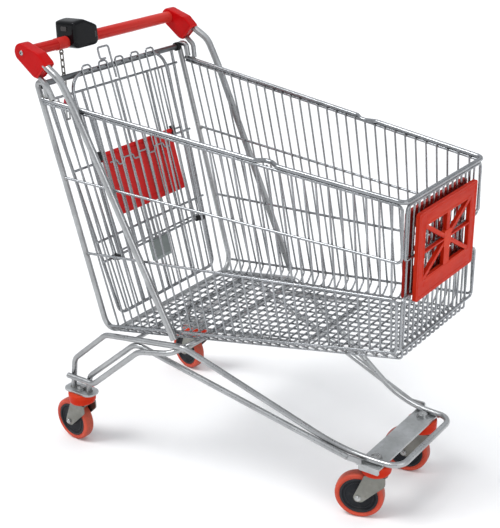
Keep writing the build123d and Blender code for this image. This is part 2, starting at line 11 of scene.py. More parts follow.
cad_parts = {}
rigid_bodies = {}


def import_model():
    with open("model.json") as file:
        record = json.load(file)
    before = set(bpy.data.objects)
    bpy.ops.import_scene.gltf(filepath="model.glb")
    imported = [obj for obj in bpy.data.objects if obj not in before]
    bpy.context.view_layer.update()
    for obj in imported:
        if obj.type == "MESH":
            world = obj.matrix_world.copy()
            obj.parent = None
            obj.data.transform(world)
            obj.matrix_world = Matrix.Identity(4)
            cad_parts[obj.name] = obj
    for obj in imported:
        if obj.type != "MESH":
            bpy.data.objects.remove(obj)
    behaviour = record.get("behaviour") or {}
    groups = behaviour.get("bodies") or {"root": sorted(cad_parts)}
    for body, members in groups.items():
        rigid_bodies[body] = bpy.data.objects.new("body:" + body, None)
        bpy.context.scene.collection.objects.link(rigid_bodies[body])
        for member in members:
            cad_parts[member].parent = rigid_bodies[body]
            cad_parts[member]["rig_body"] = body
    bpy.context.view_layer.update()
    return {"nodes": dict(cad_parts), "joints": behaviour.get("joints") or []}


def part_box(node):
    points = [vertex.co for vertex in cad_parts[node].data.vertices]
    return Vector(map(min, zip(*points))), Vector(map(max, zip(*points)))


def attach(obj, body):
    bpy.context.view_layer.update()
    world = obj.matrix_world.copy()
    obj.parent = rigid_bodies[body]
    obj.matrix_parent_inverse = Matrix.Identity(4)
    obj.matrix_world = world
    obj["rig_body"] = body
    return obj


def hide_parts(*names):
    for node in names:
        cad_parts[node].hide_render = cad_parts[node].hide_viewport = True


# Wire shopping trolley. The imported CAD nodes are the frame; this script gives every node its finish
# and builds the finer pieces around them. Lengths are in metres, in the frame's own axes:
# +X forward, +Y to the left of the person pushing, +Z up.

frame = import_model()
nodes = frame["nodes"]
joints = {joint["name"]: joint for joint in frame["joints"]}
scene = bpy.context.scene
scene.view_settings.view_transform = "Standard"
MM = 0.001
PLACES = ("rear_left", "rear_right", "front_left", "front_right")


# ---- camera, lights and floor ----
CAMERA_AT = Vector((1.4145, -1.884, 1.4715))
CAMERA_AZIMUTH, CAMERA_ELEVATION, CAMERA_ROLL = 37.29, 22.36, -2.60
CAMERA_LENS, SENSOR = 73.0, 36.0


def make_camera():
    """Long lens, looking down at the trolley from its right front."""
    azimuth, elevation, roll = (math.radians(v) for v in (CAMERA_AZIMUTH, CAMERA_ELEVATION, CAMERA_ROLL))
    back = Vector((math.sin(azimuth) * math.cos(elevation), -math.cos(azimuth) * math.cos(elevation),
                   math.sin(elevation)))
    level = (-back).cross(Vector((0, 0, 1))).normalized()
    up = level.cross(-back)
    right = math.cos(roll) * level + math.sin(roll) * up
    top = -math.sin(roll) * level + math.cos(roll) * up
    data = bpy.data.cameras.new("camera")
    data.lens = CAMERA_LENS
    data.sensor_width = SENSOR
    data.clip_end = 60
    camera = bpy.data.objects.new("camera", data)
    camera.matrix_world = Matrix.Translation(CAMERA_AT) @ Matrix((right, top, back)).transposed().to_4x4()
    scene.collection.objects.link(camera)
    scene.camera = camera


def make_lights():
    """Broad soft sun from the upper left, and a weak wide fill from the front."""
    sun = bpy.data.lights.new("soft_sun", "SUN")
    sun.energy = 1.7
    sun.angle = math.radians(24)
    lamp = bpy.data.objects.new("soft_sun", sun)
    lamp.rotation_euler = Vector((0.45, 0.55, -1.15)).to_track_quat("-Z", "Y").to_euler()
    scene.collection.objects.link(lamp)
    fill = bpy.data.lights.new("fill", "AREA")
    fill.shape = "RECTANGLE"
    fill.size, fill.size_y = 2.2, 1.6
    fill.energy = 22
    panel = bpy.data.objects.new("fill", fill)
    panel.location = (3.4, -0.6, 1.9)
    panel.rotation_euler = (Vector((0.2, 0, 0.5)) - panel.location).to_track_quat("-Z", "Y").to_euler()
    scene.collection.objects.link(panel)


def make_world():
    """Pale sky: white at the horizon and overhead, with a grey band between for the metal to reflect."""
    world = bpy.data.worlds.new("sky")
    world.use_nodes = True
    tree = world.node_tree
    background = tree.nodes["Background"]
    coordinates = tree.nodes.new("ShaderNodeTexCoord")
    split = tree.nodes.new("ShaderNodeSeparateXYZ")
    ramp = tree.nodes.new("ShaderNodeValToRGB")
    stops = ((0.0, (1.0, 1.0, 1.0)), (0.07, (0.92, 0.92, 0.93)), (0.13, (0.44, 0.45, 0.47)),
             (0.35, (0.70, 0.72, 0.75)), (0.8, (1.0, 1.02, 1.05)))
    ramp.color_ramp.elements[0].position = stops[0][0]
    ramp.color_ramp.elements[0].color = (*stops[0][1], 1)
    ramp.color_ramp.elements[1].position = stops[-1][0]
    ramp.color_ramp.elements[1].color = (*stops[-1][1], 1)
    for position, colour in stops[1:-1]:
        ramp.color_ramp.elements.new(position).color = (*colour, 1)
    tree.links.new(coordinates.outputs["Generated"], split.inputs[0])
    tree.links.new(split.outputs["Z"], ramp.inputs[0])
    tree.links.new(ramp.outputs["Color"], background.inputs["Color"])
    background.inputs["Strength"].default_value = 0.92
    scene.world = world


# ---- materials ----
def new_material(name):
    """Material with its node tree and its main shader."""
    material = bpy.data.materials.new(name)
    material.use_nodes = True
    tree = material.node_tree
    return material, tree, tree.nodes["Principled BSDF"]


def object_noise(tree, scale, detail=4, rough=0.55, stretch=(1, 1, 1)):
    """Noise in the object's own coordinates, as a 0 to 1 value."""
    coordinates = tree.nodes.new("ShaderNodeTexCoord")
    mapping = tree.nodes.new("ShaderNodeMapping")
    mapping.inputs["Scale"].default_value = stretch
    texture = tree.nodes.new("ShaderNodeTexNoise")
    texture.inputs["Scale"].default_value = scale
    texture.inputs["Detail"].default_value = detail
    texture.inputs["Roughness"].default_value = rough
    tree.links.new(coordinates.outputs["Object"], mapping.inputs["Vector"])
    tree.links.new(mapping.outputs["Vector"], texture.inputs["Vector"])
    return texture.outputs["Fac"]


def remap(tree, value, low, high, to_low, to_high):
    """Value moved from one range to another, clamped at both ends."""
    node = tree.nodes.new("ShaderNodeMapRange")
    for socket, number in zip(("From Min", "From Max", "To Min", "To Max"), (low, high, to_low, to_high)):
        node.inputs[socket].default_value = number
    tree.links.new(value, node.inputs["Value"])
    return node.outputs["Result"]


def mix(tree, factor, first, second):
    """Mix of two colours; each is a colour or a socket."""
    node = tree.nodes.new("ShaderNodeMix")
    node.data_type = "RGBA"
    tree.links.new(factor, node.inputs["Factor"])
    for socket, colour in ((node.inputs["A"], first), (node.inputs["B"], second)):
        if isinstance(colour, tuple):
            socket.default_value = (*colour, 1)
        else:
            tree.links.new(colour, socket)
    return node.outputs["Result"]


def bump(tree, shader, layers):
    """Stacked bumps: each layer is (height socket, strength, depth in metres)."""
    normal = None
    for height, strength, depth in layers:
        node = tree.nodes.new("ShaderNodeBump")
        node.inputs["Strength"].default_value = strength
        node.inputs["Distance"].default_value = depth
        tree.links.new(height, node.inputs["Height"])
        if normal is not None:
            tree.links.new(normal, node.inputs["Normal"])
        normal = node.outputs["Normal"]
    tree.links.new(normal, shader.inputs["Normal"])


def edge_wear(tree, low, high):
    """0 on flats, 1 on convex edges."""
    geometry = tree.nodes.new("ShaderNodeNewGeometry")
    return remap(tree, geometry.outputs["Pointiness"], low, high, 0, 1)


def metal(name, light, dark, grime, rough, mottle=240.0, grain=2600.0, grime_share=0.35):
    """Plated steel: cloudy brightness, fine mottling, a little grime in patches, drawn-wire grain."""
    material, tree, shader = new_material(name)
    cloud = remap(tree, object_noise(tree, 14, 3), 0.35, 0.65, 0, 1)
    fine = object_noise(tree, mottle, 6, 0.65)
    patch = remap(tree, object_noise(tree, 55, 8, 0.7), 0.56, 0.74, 0, grime_share)
    colour = mix(tree, cloud, dark, light)
    colour = mix(tree, remap(tree, fine, 0.4, 0.7, 0, 0.35), colour, dark)
    colour = mix(tree, patch, colour, grime)
    tree.links.new(colour, shader.inputs["Base Color"])
    tree.links.new(remap(tree, fine, 0.3, 0.7, rough - 0.07, rough + 0.11), shader.inputs["Roughness"])
    shader.inputs["Metallic"].default_value = 1.0
    bump(tree, shader, [(fine, 0.25, 0.12 * MM), (object_noise(tree, grain, 2), 0.16, 0.04 * MM)])
    return material


def plastic(name, base, deep, worn, rough, grain=1500.0, grain_depth=0.05, dirt=(0.05, 0.03, 0.025),
            dirt_share=0.22, coat=0.0, shine=0.10):
    """Moulded plastic: uneven pigment, paler scuffed edges, dust in patches, fine spark-eroded grain."""
    material, tree, shader = new_material(name)
    cloud = remap(tree, object_noise(tree, 9, 4), 0.3, 0.7, 0, 1)
    colour = mix(tree, cloud, deep, base)
    scuff = object_noise(tree, 130, 8, 0.75, (1, 0.35, 1))
    colour = mix(tree, remap(tree, scuff, 0.60, 0.78, 0, 0.35), colour, worn)
    colour = mix(tree, edge_wear(tree, 0.52, 0.62), colour, worn)
    patch = remap(tree, object_noise(tree, 34, 9, 0.72), 0.55, 0.8, 0, dirt_share)
    colour = mix(tree, patch, colour, dirt)
    tree.links.new(colour, shader.inputs["Base Color"])
    tree.links.new(remap(tree, scuff, 0.35, 0.75, rough - 0.06, rough + 0.16), shader.inputs["Roughness"])
    shader.inputs["IOR"].default_value = 1.49
    shader.inputs["Specular IOR Level"].default_value = shine
    shader.inputs["Coat Weight"].default_value = coat
    shader.inputs["Coat Roughness"].default_value = 0.12
    bump(tree, shader, [(scuff, 0.12, 0.15 * MM), (object_noise(tree, grain, 2), 0.3, grain_depth * MM)])
    return material


def tyre_rubber(name):
    """Cast orange tyre, dusty on the tread and scuffed with dark marks."""
    material, tree, shader = new_material(name)
    cloud = remap(tree, object_noise(tree, 22, 5), 0.3, 0.7, 0, 1)
    colour = mix(tree, cloud, (0.44, 0.035, 0.012), (0.58, 0.058, 0.018))
    tread = tree.nodes.new("ShaderNodeAttribute")
    tread.attribute_name = "tread"
    marks = object_noise(tree, 160, 9, 0.75)
    worn = tree.nodes.new("ShaderNodeMath")
    worn.operation = "MULTIPLY"
    tree.links.new(tread.outputs["Fac"], worn.inputs[0])
    tree.links.new(remap(tree, marks, 0.38, 0.66, 0.2, 0.75), worn.inputs[1])
    colour = mix(tree, worn.outputs[0], colour, (0.20, 0.055, 0.030))
    colour = mix(tree, remap(tree, marks, 0.62, 0.78, 0, 0.5), colour, (0.10, 0.035, 0.025))
    tree.links.new(colour, shader.inputs["Base Color"])
    tree.links.new(remap(tree, marks, 0.3, 0.7, 0.38, 0.62), shader.inputs["Roughness"])
    bump(tree, shader, [(marks, 0.3, 0.2 * MM), (object_noise(tree, 1100, 3), 0.25, 0.06 * MM)])
    return material


def pale_floor():
    """Matt near-white ground with a faint cloudiness."""
    material, tree, shader = new_material("pale_floor")
    cloud = remap(tree, object_noise(tree, 2, 4), 0.3, 0.7, 0, 1)
    tree.links.new(mix(tree, cloud, (0.86, 0.86, 0.86), (0.9, 0.9, 0.9)), shader.inputs["Base Color"])
    shader.inputs["Roughness"].default_value = 0.85
    bump(tree, shader, [(object_noise(tree, 400, 3), 0.1, 0.1 * MM)])
    return material


ZINC_GRIME = (0.12, 0.115, 0.105)
WIRE = metal("zinc_wire", (0.36, 0.37, 0.385), (0.25, 0.26, 0.27), ZINC_GRIME, 0.24)
TUBE = metal("zinc_tube", (0.46, 0.47, 0.475), (0.34, 0.345, 0.35), ZINC_GRIME, 0.30, mottle=180)
PLATE = metal("zinc_plate", (0.56, 0.575, 0.585), (0.40, 0.41, 0.41), (0.15, 0.14, 0.12), 0.40, mottle=120)
FORK = metal("zinc_fork", (0.30, 0.30, 0.275), (0.20, 0.20, 0.18), (0.09, 0.085, 0.07), 0.42, mottle=90)
WELD = metal("weld", (0.36, 0.36, 0.35), (0.17, 0.165, 0.16), (0.07, 0.06, 0.05), 0.42, mottle=420,
             grime_share=0.55)
DARK_STEEL = metal("dark_steel", (0.22, 0.235, 0.245), (0.12, 0.125, 0.13), (0.05, 0.045, 0.04), 0.34,
                   grime_share=0.5)
CHAIN_STEEL = metal("chain_steel", (0.22, 0.205, 0.18), (0.10, 0.095, 0.085), (0.05, 0.035, 0.02), 0.36,
                    grime_share=0.55)
BOLT = metal("bolt", (0.52, 0.53, 0.53), (0.33, 0.335, 0.335), (0.14, 0.12, 0.10), 0.27)
RED = plastic("red_plastic", (0.50, 0.003, 0.004), (0.41, 0.002, 0.003), (0.58, 0.03, 0.025), 0.32)
GRIP = plastic("grip_plastic", (0.50, 0.005, 0.004), (0.40, 0.003, 0.003), (0.57, 0.04, 0.03), 0.32,
               grain=900, coat=0.1)
FLAP = plastic("flap_plastic", (0.60, 0.002, 0.004), (0.50, 0.001, 0.003), (0.64, 0.03, 0.03), 0.38)
PANEL = plastic("panel_plastic", (0.50, 0.016, 0.002), (0.40, 0.011, 0.001), (0.56, 0.04, 0.012), 0.45,
                grain=1100, grain_depth=0.08)
# The panel plastic again at about half brightness: painted shade for the back panel, not a darker plastic of
# its own.
PANEL_BACK_SHADED = plastic("panel_back_shaded_plastic", (0.28, 0.006, 0.002), (0.21, 0.004, 0.002), (0.40, 0.03, 0.015),
                     0.46, grain=1100, grain_depth=0.08)
COVER = plastic("cover_plastic", (0.56, 0.024, 0.003), (0.45, 0.016, 0.002), (0.62, 0.08, 0.03), 0.38)
CRIMSON = plastic("crimson_plastic", (0.42, 0.008, 0.03), (0.32, 0.005, 0.02), (0.55, 0.08, 0.10), 0.3,
                  coat=0.3)
BLACK = plastic("black_gloss", (0.004, 0.0045, 0.006), (0.002, 0.0025, 0.003), (0.02, 0.021, 0.024), 0.14,
                dirt=(0.05, 0.048, 0.045), coat=0.15)
BLACK_MATT = plastic("black_matt", (0.020, 0.021, 0.022), (0.012, 0.012, 0.013), (0.07, 0.07, 0.07), 0.42,
                     dirt=(0.08, 0.075, 0.065))
HUB = plastic("hub_plastic", (0.020, 0.022, 0.026), (0.012, 0.013, 0.016), (0.07, 0.07, 0.075), 0.40,
              dirt=(0.09, 0.08, 0.07), dirt_share=0.4)
LABEL = plastic("label_plastic", (0.095, 0.125, 0.120), (0.07, 0.095, 0.092), (0.25, 0.28, 0.27), 0.22,
                coat=0.5)
LABEL_RIM = plastic("label_rim", (0.34, 0.38, 0.37), (0.26, 0.30, 0.29), (0.5, 0.52, 0.5), 0.3, coat=0.3)
TYRE = tyre_rubber("tyre_rubber")

FINISH = {
    "chassis_tube": TUBE, "inner_tubes": TUBE, "cross_tube": TUBE, "floor_supports": TUBE,
    "rear_frame": TUBE, "front_posts": TUBE, "rear_posts": TUBE, "swivel_bolts": BOLT, "screws": BOLT,
    "basket_rim": WIRE, "side_loops": WIRE, "front_loops": WIRE, "side_wires": WIRE, "front_wires": WIRE,
    "floor_wires": WIRE, "gate_frame": WIRE, "gate_bars": WIRE, "gate_wires": WIRE, "seat_frame": WIRE,
    "seat_wires": WIRE, "seat_bars": WIRE, "handle_bar": GRIP, "lock_collar": GRIP, "chain_eye": CHAIN_STEEL,
    "lock_chain": CHAIN_STEEL, "gate_rod": DARK_STEEL,
}


def paint(node, material):
    """Gives a CAD node its finish."""
    mesh = nodes[node].data
    mesh.materials.clear()
    mesh.materials.append(material)


# ---- mesh helpers ----
def add_piece(name, bm, body, material, replaces=(), sharp=38):
    """Turns a bmesh in frame coordinates into a smooth-shaded piece that rides on a body."""
    bmesh.ops.recalc_face_normals(bm, faces=bm.faces)
    mesh = bpy.data.meshes.new(name)
    bm.to_mesh(mesh)
    bm.free()
    mesh.materials.append(material)
    for polygon in mesh.polygons:
        polygon.use_smooth = True
    mesh.set_sharp_from_angle(angle=math.radians(sharp))
    piece = bpy.data.objects.new(name, mesh)
    scene.collection.objects.link(piece)
    shading = piece.modifiers.new("even_shading", "WEIGHTED_NORMAL")
    shading.weight = 90
    shading.keep_sharp = True
    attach(piece, body)
    if replaces:
        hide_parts(*replaces)
    return piece


def soften(bm, width, segments=2, angle=30):
    """Rounds every edge sharper than the angle."""
    sharp = [edge for edge in bm.edges
             if len(edge.link_faces) == 2 and edge.calc_face_angle(0) > math.radians(angle)]
    bmesh.ops.bevel(bm, geom=sharp, offset=width, segments=segments, profile=0.5, affect="EDGES",
                    clamp_overlap=True)


def melt(bm, voxel, rounds):
    """Remeshed evenly and relaxed, which rounds all edges of a chunky moulding alike."""
    mesh = bpy.data.meshes.new("melt")
    bmesh.ops.recalc_face_normals(bm, faces=bm.faces)
    bm.to_mesh(mesh)
    bm.free()
    lump = bpy.data.objects.new("melt", mesh)
    scene.collection.objects.link(lump)
    grid = lump.modifiers.new("grid", "REMESH")
    grid.mode, grid.voxel_size = "VOXEL", voxel
    relax = lump.modifiers.new("relax", "SMOOTH")
    relax.factor, relax.iterations = 0.5, rounds
    shaped = bmesh.new()
    shaped.from_object(lump, bpy.context.evaluated_depsgraph_get())
    bpy.data.objects.remove(lump)
    bpy.data.meshes.remove(mesh)
    return shaped


def refined(node, material, width, segments=2, angle=30):
    """The node's own shape with its flats made whole and its edges rounded."""
    bm = bmesh.new()
    bm.from_mesh(nodes[node].data)
    bmesh.ops.remove_doubles(bm, verts=bm.verts, dist=0.002 * MM)
    bmesh.ops.dissolve_limit(bm, angle_limit=math.radians(0.8), verts=bm.verts, edges=bm.edges)
    soften(bm, width, segments, angle)
    return add_piece(node + "_fine", bm, nodes[node]["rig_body"], material, [node])


def join_rings(bm, rings):
    """Closes a row of equal rings of vertices into a band that meets itself."""
    count = len(rings[0])
    for i, ring in enumerate(rings):
        after = rings[(i + 1) % len(rings)]
        for j in range(count):
            k = (j + 1) % count
            bm.faces.new((ring[j], after[j], after[k], ring[k]))


def lathe(profile, steps, place):
    """Closed ring turned about local Z from (radius, height) points."""
    bm = bmesh.new()
    rings = []
    for step in range(steps):
        angle = 2 * math.pi * step / steps
        rings.append([bm.verts.new(place @ Vector((r * math.cos(angle), r * math.sin(angle), h)))
                      for r, h in profile])
    join_rings(bm, rings)
    bmesh.ops.remove_doubles(bm, verts=bm.verts, dist=0.001 * MM)
    return bm


def rounded(points, radii, steps=5):
    """Closed outline with each corner replaced by an arc of its radius."""
    outline = []
    count = len(points)
    for i, point in enumerate(points):
        here = Vector(point)
        before = Vector(points[i - 1]) - here
        after = Vector(points[(i + 1) % count]) - here
        radius = radii[i] if isinstance(radii, (list, tuple)) else radii
        half = before.angle(after) / 2
        if radius <= 0 or abs(half - math.pi / 2) < 0.01:
            outline.append(here)
            continue
        reach = min(radius / math.tan(half), 0.48 * before.length, 0.48 * after.length)
        radius = reach * math.tan(half)
        bisector = (before.normalized() + after.normalized()).normalized()
        centre = here + bisector * (radius / math.sin(half))
        first = here + before.normalized() * reach - centre
        last = here + after.normalized() * reach - centre
        turn = first.angle_signed(last)
        for step in range(steps + 1):
            spin = Matrix.Rotation(-turn * step / steps, 2)
            outline.append(centre + spin @ first)
    return outline


def prism(outline, low, high, place):
    """Outline in local X and Y, between two heights along local Z."""
    bm = bmesh.new()
    bottom = [bm.verts.new(place @ Vector((p[0], p[1], low))) for p in outline]
    top = [bm.verts.new(place @ Vector((p[0], p[1], high))) for p in outline]
    bm.faces.new(bottom[::-1])
    bm.faces.new(top)
    for i in range(len(outline)):
        j = (i + 1) % len(outline)
        bm.faces.new((bottom[i], bottom[j], top[j], top[i]))
    return bm


def rectangle(left, bottom, right, top):
    return [(left, bottom), (right, bottom), (right, top), (left, top)]


def hexagon(radius):
    return [(radius * math.cos(math.radians(60 * i)), radius * math.sin(math.radians(60 * i)))
            for i in range(6)]


def block(low, high, place):
    return prism(rectangle(low[0], low[1], high[0], high[1]), low[2], high[2], place)


def merge(target, *others):
    """Adds other bmeshes to the first one."""
    for other in others:
        mesh = bpy.data.meshes.new("part")
        other.to_mesh(mesh)
        other.free()
        target.from_mesh(mesh)
        bpy.data.meshes.remove(mesh)
    return target


def basis(origin, x_axis, y_axis, z_axis):
    """Local frame with the given origin and axes."""
    return Matrix.Translation(origin) @ Matrix((x_axis, y_axis, z_axis)).transposed().to_4x4()


X, Y, Z = Vector((1, 0, 0)), Vector((0, 1, 0)), Vector((0, 0, 1))


# ---- castors ----
def castor_frame(place):
    """Swivel foot point, wheel centre, rolling direction and axle direction of one castor."""
    pivot = Vector(joints[f"swivel_{place}"]["pos_m"])
    centre = Vector(joints[f"spin_{place}"]["pos_m"])
    axle = Vector(joints[f"spin_{place}"]["axis"])
    return pivot, centre, axle.cross(Z), axle


def arc_points(centre, radius, start, end, steps):
    """Points along an arc, with its angles in degrees."""
    return [(centre[0] + radius * math.cos(math.radians(start + (end - start) * i / steps)),
             centre[1] + radius * math.sin(math.radians(start + (end - start) * i / steps)))
            for i in range(steps + 1)]


def scaled(points, factor=MM):
    return [(x * factor, y * factor) for x, y in points]


def build_wheel(place):
    """Tyre with a crowned tread, and a hub with a stepped face. Profiles are in millimetres."""
    _, centre, rolling, axle = castor_frame(place)
    where = basis(centre, rolling, axle.cross(rolling), axle)
    body = f"wheel_{place}"
    low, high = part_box(f"tyre_{place}")
    radius = (high.z - low.z) / 2 / MM
    rim, half, tread_depth = 44.53, 14.0, 2.2
    side = [(rim, -half + 2.2), (rim + 0.6, -half + 0.9), (rim + 1.8, -half + 0.7), (rim + 2.4, -half + 1.5),
            (rim + 3.2, -half + 0.5)]
    side += arc_points((radius - 6.5, -half + 6.2), 6.1, -105, -12, 9)
    crown = [(radius - 0.12, -4.4), (radius, 0.0)]
    half_profile = side + crown
    profile = half_profile + [(r, -h) for r, h in reversed(half_profile[:-1])]
    bm = lathe(scaled(profile), 112, where)
    tread = bm.verts.layers.float.new("tread")
    for vert in bm.verts:
        local = where.inverted() @ vert.co
        reach = math.hypot(local.x, local.y) / MM
        vert[tread] = min(1, max(0, (reach - (radius - tread_depth)) / 2.0))
    add_piece(f"tyre_{place}_fine", bm, body, TYRE, [f"tyre_{place}"])

    face = [(4.05, -18), (8.4, -18), (10.6, -17.2), (11, -16.4), (11, -15.2), (13.2, -14.6), (13.9, -11.2),
            (15.5, -10.3), (18, -10.0), (29.5, -9.3), (31.2, -9.6), (31.9, -10.6), (33.2, -10.8),
            (34.2, -10.0), (37.5, -9.9), (38.6, -11.0), (39.2, -12.4), (40.4, -13.1), (43.2, -13.1),
            (44.2, -12.6), (44.5, -11.6)]
    profile = face + [(r, -h) for r, h in reversed(face)]
    add_piece(f"hub_{place}_fine", lathe(scaled(profile), 96, where), body, HUB,
              [f"hub_{place}"])


def build_fork(place):
    """Pressed fork: two leg plates under a crown with rounded shoulders."""
    pivot, centre, rolling, axle = castor_frame(place)
    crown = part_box(f"fork_{place}")[1].z - centre.z
    trail = (pivot - centre).dot(rolling)
    tip = 9.5 * MM
    outline = [(trail - 23.5 * MM, crown), (trail + 24 * MM, crown), (trail + 24 * MM, crown - 22 * MM),
               (0.62 * tip + 3 * MM, -tip), (-0.72 * tip, -tip), (-tip - 1.5 * MM, 2.5 * MM)]
    outline = rounded(outline, [1 * MM, 1 * MM, 13 * MM, 9 * MM, 8 * MM, 8 * MM], 6)
    pieces = []
    for sign in (-1, 1):
        where = basis(centre, rolling, Z, rolling.cross(Z))
        leg = prism(outline, sign * 19.2 * MM, sign * 22.2 * MM, where)
        soften(leg, 0.9 * MM, 3)
        pieces.append(leg)
    shoulder = 22.0 * MM
    curve = arc_points((shoulder - 5 * MM, crown - 5 * MM), 5 * MM, 0, 90, 6)
    section = curve + [(-x, z) for x, z in reversed(curve)]
    inner = arc_points((shoulder - 5 * MM, crown - 5 * MM), 2.2 * MM, 0, 90, 6)
    section += [(-x, z) for x, z in inner] + [(x, z) for x, z in reversed(inner)]
    across = basis(centre, axle, Z, axle.cross(Z))
    direction = axle.cross(Z).dot(rolling)
    ends = sorted((direction * (trail - 23 * MM), direction * (trail + 23.5 * MM)))
    pieces.append(prism(section, ends[0], ends[1], across))
    add_piece(f"fork_{place}_fine", merge(*pieces), f"castor_{place}", FORK,
              [f"fork_{place}"])


def build_swivel_cover(place):
    """Deep plastic cover over the swivel race. Its profile is in millimetres."""
    pivot = castor_frame(place)[0]
    low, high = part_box(f"swivel_cover_{place}")
    height = (high.z - low.z) / MM
    stand = Matrix.Translation(Vector((pivot.x, pivot.y, low.z)))
    bowl = [(6.2, 0.1), (25.0, 0.1), (28.6, 0.7), (31.4, 2.2), (33.2, 4.6), (34.2, 7.8), (34.5, 12.0),
            (34.5, 18.0), (35.0, 19.0), (35.0, 27.6), (34.4, 29.0), (33.0, height - 0.2),
            (6.2, height - 0.2)]
    add_piece(f"swivel_cover_{place}_fine", lathe(scaled(bowl), 80, stand), f"castor_{place}", COVER,
              [f"swivel_cover_{place}"])


def build_axle(place):
    """Axle bolt with a domed head, a washer and a nut. Profiles are in millimetres."""
    _, centre, rolling, axle = castor_frame(place)
    where = basis(centre, rolling, axle.cross(rolling), axle)
    shank = [(0.0, -24), (3.9, -24), (3.9, 24), (0.0, 24)]
    head = [(0.0, -22.3), (7.4, -22.3), (7.4, -23.4), (6.4, -23.5), (6.3, -25.0), (5.4, -26.2),
            (3.0, -26.9), (0.0, -27.0)]
    washer = [(4.0, 22.3), (8.0, 22.3), (8.0, 23.5), (4.0, 23.5)]
    turned = [lathe(scaled(profile), steps, where)
              for profile, steps in ((shank, 32), (head, 40), (washer, 40))]
    nut = prism(hexagon(6.6 * MM), 23.5 * MM, 27.0 * MM, where)
    soften(nut, 0.5 * MM, 2)
    add_piece(f"axle_{place}_fine", merge(*turned, nut), f"castor_{place}", BOLT,
              [f"axle_{place}"])


# ---- handle and coin lock ----
def bead(points, section, place):
    """Closed loop of points swept with a small section of (outward, upward) offsets in millimetres."""
    bm = bmesh.new()
    rings = []
    for i, point in enumerate(points):
        ahead = (points[(i + 1) % len(points)] - points[i - 1]).normalized()
        out = Vector((ahead.y, -ahead.x))
        rings.append([bm.verts.new(place @ Vector((*(point + out * a * MM), b * MM))) for a, b in section])
    join_rings(bm, rings)
    return bm


def build_brackets():
    """Moulded ends of the handle: round head with a screw, flat cut end with a lip round it."""
    tube_low, tube_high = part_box("handle_bar")
    x, z = (tube_low.x + tube_high.x) / 2, (tube_low.z + tube_high.z) / 2
    head = arc_points((x - 2 * MM, z), 21.6 * MM, 62, 242, 18)
    cut_low, cut_high = (x + 37.5 * MM, z - 55 * MM), (x + 75.5 * MM, z - 19.5 * MM)
    outline = [*head, (x + 27.5 * MM, z - 51.2 * MM), cut_low, cut_high, (x + 53 * MM, z + 2.5 * MM),
               (x + 13 * MM, z + 17.2 * MM)]
    face = Vector((cut_high[0] - cut_low[0], 0, cut_high[1] - cut_low[1])).normalized()
    inner, outer = 240.0 * MM, 268.0 * MM
    for side, sign in (("left", 1), ("right", -1)):
        where = basis(Vector(), X, Z, sign * Y)
        bm = melt(prism(outline, inner, outer, where), 1.4 * MM, 28)
        add_piece(f"bracket_{side}", bm, "frame", RED,
                  ["handle_brackets"] if side == "left" else (), 70)
        middle = Vector(((cut_low[0] + cut_high[0]) / 2, sign * (inner + outer) / 2,
                         (cut_low[1] + cut_high[1]) / 2))
        seat = basis(middle, face, Y, face.cross(Y))
        long, wide = 24.2 * MM, 12.6 * MM
        hoop = rounded(rectangle(-long, -wide, long, wide), 5 * MM, 6)
        lip = [(0.0, -2.2), (1.0, -1.8), (1.5, -0.6), (1.5, 0.6), (1.0, 1.8), (0.0, 2.2), (-1.6, 1.6),
               (-1.6, -1.6)]
        add_piece(f"bracket_rim_{side}", bead(hoop, lip, seat), "frame", RED)
        build_bracket_screw(side, Vector((x, sign * outer, z)), sign)


def build_bracket_screw(side, at, sign):
    """Moulded cup on the head of a bracket, with a domed screw that has a hexagon socket."""
    where = basis(at, X, Z, sign * Y)
    cup = [(5.9, -2.0), (6.4, -2.0), (6.6, 0.6), (7.2, 1.1), (7.9, 0.9), (8.6, 0.0), (8.6, -2.0)]
    add_piece(f"screw_cup_{side}", lathe(scaled(cup), 48, where), "frame", RED)
    dome = [(0.0, -2.0), (5.8, -2.0), (5.8, -0.2), (5.3, 0.6), (4.2, 1.3), (2.9, 1.7), (0.0, 1.75)]
    add_piece(f"bracket_screw_{side}", lathe(scaled(dome), 40, where), "frame", BOLT,
              ["screws"] if side == "left" else ())
    add_piece(f"screw_socket_{side}", prism(hexagon(2.4 * MM), 1.0 * MM, 1.83 * MM, where), "frame",
              BLACK_MATT)


def build_coin_lock():
    """Glossy rounded housing clamped round the handle."""
    low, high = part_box("coin_lock_body")
    side = [(low.y, low.z + 9 * MM), (low.y + 14 * MM, low.z), (high.y - 8 * MM, low.z + 1 * MM),
            (high.y, low.z + 12 * MM), (high.y - 2 * MM, high.z - 20 * MM), (low.y + 38 * MM, high.z),
            (low.y + 3 * MM, high.z - 3 * MM)]
    across = basis(Vector(), Y, Z, X)
    add_piece("coin_lock_shell", melt(prism(side, low.x, high.x, across), 2.4 * MM, 60), "frame", BLACK,
              ["coin_lock_body"], 75)
    build_coin_tray(low.x + 0.1 * MM)
    build_lock_details(low, high)


def build_coin_tray(face_x):
    """Raised frame round the mouth of the tray, and the tray itself."""
    low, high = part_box("coin_slide")
    middle, half = (low + high) / 2, (high - low) / 2
    back = basis(Vector((face_x, middle.y, middle.z)), Y, Z, X)
    outer = rounded(rectangle(-21 * MM, -7.5 * MM, 21 * MM, 7.5 * MM), 4 * MM)
    wide, tall = half.y + 0.6 * MM, half.z + 0.5 * MM
    inner = rounded(rectangle(-wide, -tall, wide, tall), 1 * MM)
    bm = bmesh.new()
    levels = [(outer, 0.0), (outer, -1.2 * MM), (inner, -1.2 * MM), (inner, 0.6 * MM)]
    join_rings(bm, [[bm.verts.new(back @ Vector((*p, height))) for p in ring] for ring, height in levels])
    soften(bm, 0.35 * MM, 2)
    add_piece("coin_tray_frame", bm, "frame", BLACK_MATT)
    refined("coin_slide", BLACK_MATT, 0.5 * MM)


